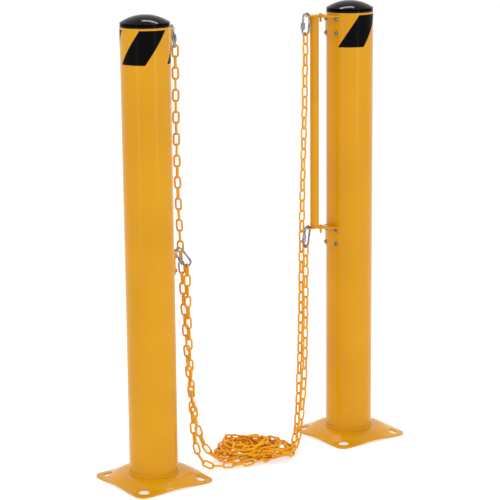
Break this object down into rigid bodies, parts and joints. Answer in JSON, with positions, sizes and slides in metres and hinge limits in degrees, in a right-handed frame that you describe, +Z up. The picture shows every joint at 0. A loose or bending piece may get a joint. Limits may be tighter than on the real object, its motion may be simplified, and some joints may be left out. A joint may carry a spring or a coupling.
{
  "type": "chain barrier post set",
  "caption": "Steel bollards on bolt-down plates, joined by plastic chains in quick links, with a lift-off hook bar on eye tabs, domed caps and slanted film stripes.",
  "frame": {"origin": "on the floor, midway between the two posts", "axes": "+Z up, +X from the post with the short eye tabs to the post with the hook bar, +Y towards the back"},
  "size_m": [0.8, 0.21, 1.0943],
  "materials": {
    "post_yellow": "gloss powder coat",
    "weld_yellow": "gloss powder coat over a weld bead",
    "black_cap": "gloss moulded plastic",
    "black_film": "satin vinyl film",
    "bracket_yellow": "gloss powder coat",
    "bar_yellow": "gloss powder coat",
    "zinc_screw": "dull zinc plate",
    "zinc_link": "bright zinc plate",
    "chain_yellow": "moulded plastic"
  },
  "bodies": {
    "root": {"left_base_plate": "post_yellow", "left_post_tube": "post_yellow", "left_base_weld": "weld_yellow", "left_cap": "black_cap", "left_stripes": "black_film", "left_upper_saddle": "bracket_yellow", "left_upper_eye_tab": "bracket_yellow", "left_upper_screws": "zinc_screw", "left_upper_rivet_nuts": "zinc_screw", "left_lower_saddle": "bracket_yellow", "left_lower_eye_tab": "bracket_yellow", "left_lower_screws": "zinc_screw", "left_lower_rivet_nuts": "zinc_screw", "right_base_plate": "post_yellow", "right_post_tube": "post_yellow", "right_base_weld": "weld_yellow", "right_cap": "black_cap", "right_stripes": "black_film", "right_upper_saddle": "bracket_yellow", "right_upper_eye_tab": "bracket_yellow", "right_upper_screws": "zinc_screw", "right_upper_rivet_nuts": "zinc_screw", "right_lower_saddle": "bracket_yellow", "right_lower_eye_tab": "bracket_yellow", "right_lower_screws": "zinc_screw", "right_lower_rivet_nuts": "zinc_screw", "upper_chain_left_run": "chain_yellow", "lower_chain_left_run": "chain_yellow", "upper_chain_right_run": "chain_yellow", "lower_chain_right_run": "chain_yellow", "chain_heap": "chain_yellow"},
    "hook_bar": {"hook_bar_tube": "bar_yellow", "hook_bar_top_tab": "bar_yellow", "hook_bar_top_pin": "bar_yellow", "hook_bar_bottom_tab": "bar_yellow", "hook_bar_bottom_pin": "bar_yellow"},
    "left_upper_quick_link": {"left_upper_quick_link": "zinc_link"},
    "left_upper_sleeve_nut": {"left_upper_sleeve_nut": "zinc_link"},
    "left_lower_quick_link": {"left_lower_quick_link": "zinc_link"},
    "left_lower_sleeve_nut": {"left_lower_sleeve_nut": "zinc_link"},
    "right_upper_quick_link": {"right_upper_quick_link": "zinc_link"},
    "right_upper_sleeve_nut": {"right_upper_sleeve_nut": "zinc_link"},
    "right_lower_quick_link": {"right_lower_quick_link": "zinc_link"},
    "right_lower_sleeve_nut": {"right_lower_sleeve_nut": "zinc_link"}
  },
  "joints": [
    {"name": "hook_bar_lift", "type": "slide", "parent": "root", "child": "hook_bar", "axis": [0, 0, 1], "range_m": [0, 0.06]},
    {"name": "left_upper_quick_link_swing", "type": "hinge", "parent": "root", "child": "left_upper_quick_link", "pos_m": [-0.21742, 0.00629, 1.0562], "axis": [0.714, -0.6895, 0.1219], "range_deg": [-8, 50]},
    {"name": "left_upper_sleeve_nut_travel", "type": "slide", "parent": "left_upper_quick_link", "child": "left_upper_sleeve_nut", "axis": [-0.1239, 0.0469, 0.9912], "range_m": [0, 0.0125]},
    {"name": "left_lower_quick_link_swing", "type": "hinge", "parent": "root", "child": "left_lower_quick_link", "pos_m": [-0.21505, -0.00226, 0.5387], "axis": [0.2588, 0.9659, 0], "range_deg": [-30, 38]},
    {"name": "left_lower_sleeve_nut_travel", "type": "slide", "parent": "left_lower_quick_link", "child": "left_lower_sleeve_nut", "axis": [-0.5678, 0.1521, 0.809], "range_m": [0, 0.0125]},
    {"name": "right_upper_quick_link_swing", "type": "hinge", "parent": "hook_bar", "child": "right_upper_quick_link", "pos_m": [0.16225, 0, 1.06], "axis": [0, 1, 0], "range_deg": [-4, 50]},
    {"name": "right_upper_sleeve_nut_travel", "type": "slide", "parent": "right_upper_quick_link", "child": "right_upper_sleeve_nut", "axis": [0.0698, 0, 0.9976], "range_m": [0, 0.0125]},
    {"name": "right_lower_quick_link_swing", "type": "hinge", "parent": "hook_bar", "child": "right_lower_quick_link", "pos_m": [0.16255, -0.00226, 0.5425], "axis": [-0.2588, 0.9659, 0], "range_deg": [-14, 50]},
    {"name": "right_lower_sleeve_nut_travel", "type": "slide", "parent": "right_lower_quick_link", "child": "right_lower_sleeve_nut", "axis": [0.1677, 0.0449, 0.9848], "range_m": [0, 0.0125]}
  ]
}
